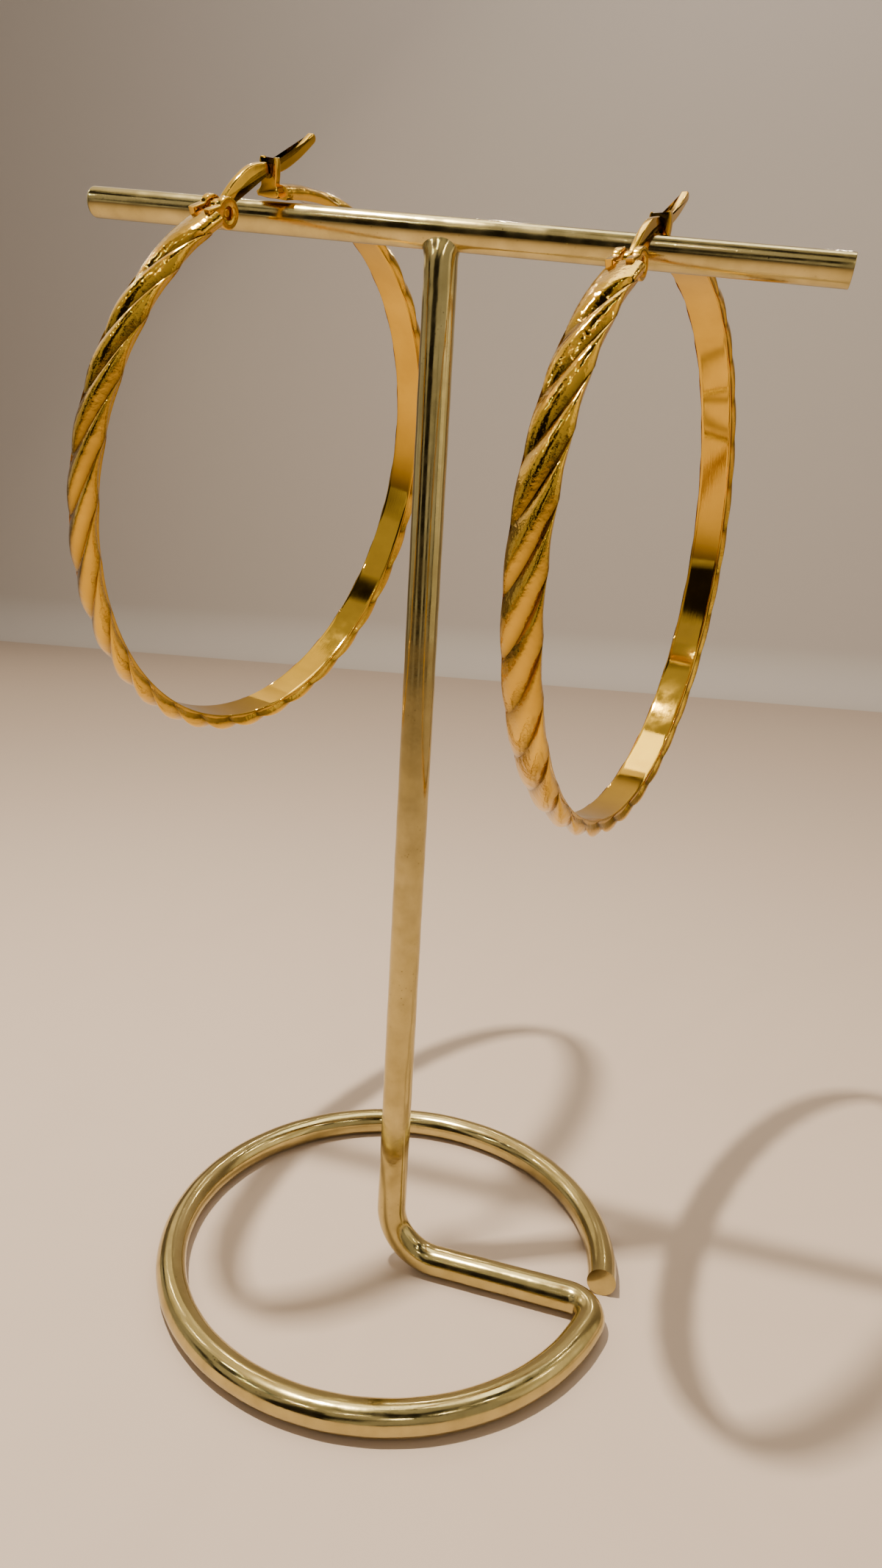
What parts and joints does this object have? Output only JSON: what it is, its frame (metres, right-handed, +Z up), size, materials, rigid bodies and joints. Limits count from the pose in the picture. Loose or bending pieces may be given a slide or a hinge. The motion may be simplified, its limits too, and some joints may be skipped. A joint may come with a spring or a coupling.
{
  "type": "hoop earrings on a t-bar stand",
  "caption": "Large fluted gold-tone hoops with lever clasps, hung through their clasps on a bent-rod brass T-bar stand with an open ring base.",
  "frame": {"origin": "middle of the bounding box of everything, at the height of the table under the base ring", "axes": "+Z up, +X along the cross bar to its lower, right end as seen in the picture, +Y away from the viewer"},
  "size_m": [0.0912, 0.0788, 0.1473],
  "materials": {
    "brass_rod": "polished pale brass with a light tarnish",
    "gold_band": "polished gold-tone plating",
    "gold_clasp": "polished gold-tone plating"
  },
  "bodies": {
    "stand_and_hoops": {"stand": "brass_rod", "left_hoop": "gold_band", "right_hoop": "gold_band", "left_rivet": "gold_clasp", "right_rivet": "gold_clasp"},
    "left_lever": {"left_lever": "gold_clasp"},
    "right_lever": {"right_lever": "gold_clasp"}
  },
  "joints": [
    {"name": "left_lever_hinge", "type": "hinge", "parent": "stand_and_hoops", "child": "left_lever", "pos_m": [-0.02276, -0.0185, 0.13451], "axis": [0.9531, -0.1749, -0.247], "range_deg": [0, 95]},
    {"name": "right_lever_hinge", "type": "hinge", "parent": "stand_and_hoops", "child": "right_lever", "pos_m": [0.0229, -0.01497, 0.12883], "axis": [0.9702, -0.2311, -0.0732], "range_deg": [0, 95]}
  ]
}
